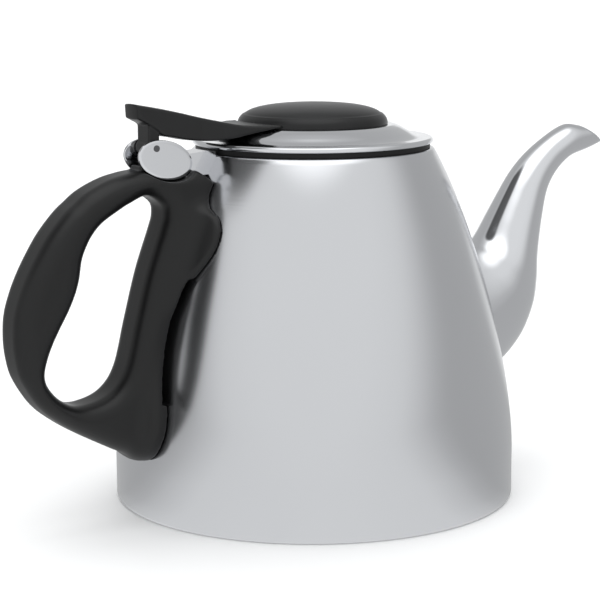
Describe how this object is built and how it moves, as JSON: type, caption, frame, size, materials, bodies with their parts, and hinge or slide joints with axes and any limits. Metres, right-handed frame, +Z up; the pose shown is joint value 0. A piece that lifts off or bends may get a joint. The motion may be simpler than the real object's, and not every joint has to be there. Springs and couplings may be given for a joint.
{
  "type": "teapot with infuser",
  "caption": "Stainless teapot, bell-shaped, with a gooseneck spout, a moulded loop handle, a hinged lid with a thumb lever and a drop-in perforated infuser.",
  "frame": {"origin": "centre of the foot, on the surface the pot stands on", "axes": "+Z up along the pot's axis, +X towards the spout, -X towards the handle; symmetric about Y = 0"},
  "size_m": [0.2489, 0.14, 0.1403],
  "materials": {
    "stainless": "mirror polished stainless steel",
    "core_aluminium": "plain",
    "handle_plastic": "satin, fine grain",
    "lever_plastic": "satin",
    "seal_rubber": "matte silicone"
  },
  "bodies": {
    "pot": {"body_shell": "stainless", "body_floor": "stainless", "base_core": "core_aluminium", "base_cap": "stainless", "mouth_ring": "stainless", "spout": "stainless", "hinge_bracket": "stainless", "hinge_cheek_left": "stainless", "hinge_cheek_right": "stainless", "hinge_pin": "stainless", "handle": "handle_plastic", "handle_top_screw": "stainless", "handle_foot_screw": "stainless", "foot_bracket": "stainless"},
    "lid": {"lid_shell": "stainless", "lid_skirt": "stainless", "lid_seal": "seal_rubber", "lid_lever": "lever_plastic", "lid_knob": "lever_plastic", "lid_screws": "stainless", "lid_washers": "stainless"},
    "infuser": {"infuser_rim": "stainless", "infuser_wall": "stainless", "infuser_floor": "stainless"}
  },
  "joints": [
    {"name": "lid_hinge", "type": "hinge", "parent": "pot", "child": "lid", "pos_m": [-0.065, 0, 0.1254], "axis": [0, -1, 0], "range_deg": [0, 85]},
    {"name": "infuser_turn", "type": "hinge", "parent": "pot", "child": "infuser", "pos_m": [0, 0, 0.113], "axis": [0, 0, 1], "continuous": true}
  ]
}
